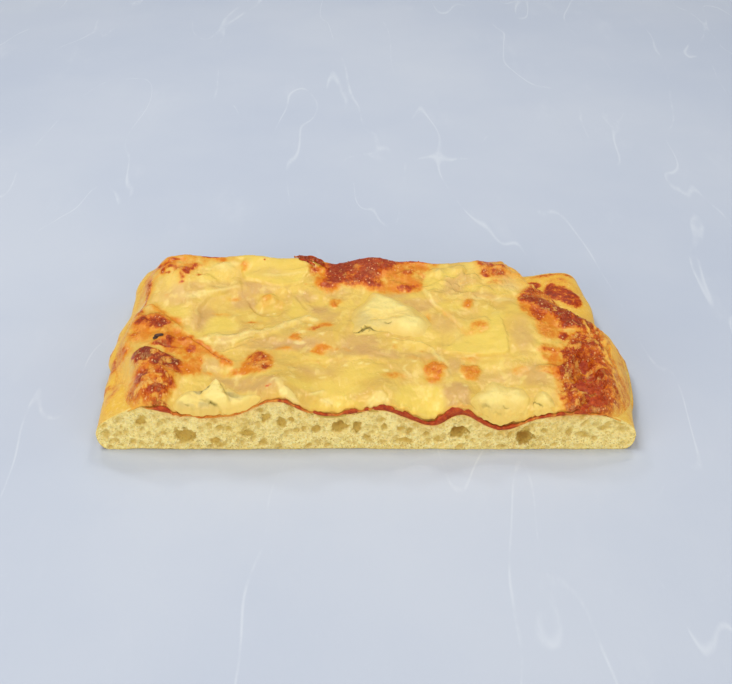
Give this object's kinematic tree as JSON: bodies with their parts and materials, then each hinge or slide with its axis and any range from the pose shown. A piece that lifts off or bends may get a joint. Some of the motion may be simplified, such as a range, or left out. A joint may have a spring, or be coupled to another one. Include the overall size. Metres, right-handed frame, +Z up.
{
  "type": "pizza slice",
  "caption": "Rectangular tray-baked pizza slice with a rounded rim at both ends, straight front and back cuts, sauce, melted cheese and lumps of blue cheese.",
  "frame": {"origin": "middle of the bounding box at the height of the surface the slice lies on", "axes": "+X from the left rim to the right rim along the slice, +Y from the front cut to the back cut, +Z up through the layers"},
  "size_m": [0.2068, 0.107, 0.0262],
  "materials": {
    "baked_dough": "matte baked crumb with a golden crust",
    "tomato_sauce": "moist",
    "melted_cheese": "satin, oily in places",
    "blue_cheese": "satin"
  },
  "bodies": {
    "root": {"dough_base": "baked_dough", "tomato_sauce": "tomato_sauce", "melted_cheese": "melted_cheese", "blue_cheese_left": "blue_cheese", "blue_cheese_centre": "blue_cheese", "blue_cheese_right": "blue_cheese", "blue_cheese_small": "blue_cheese"}
  },
  "joints": []
}
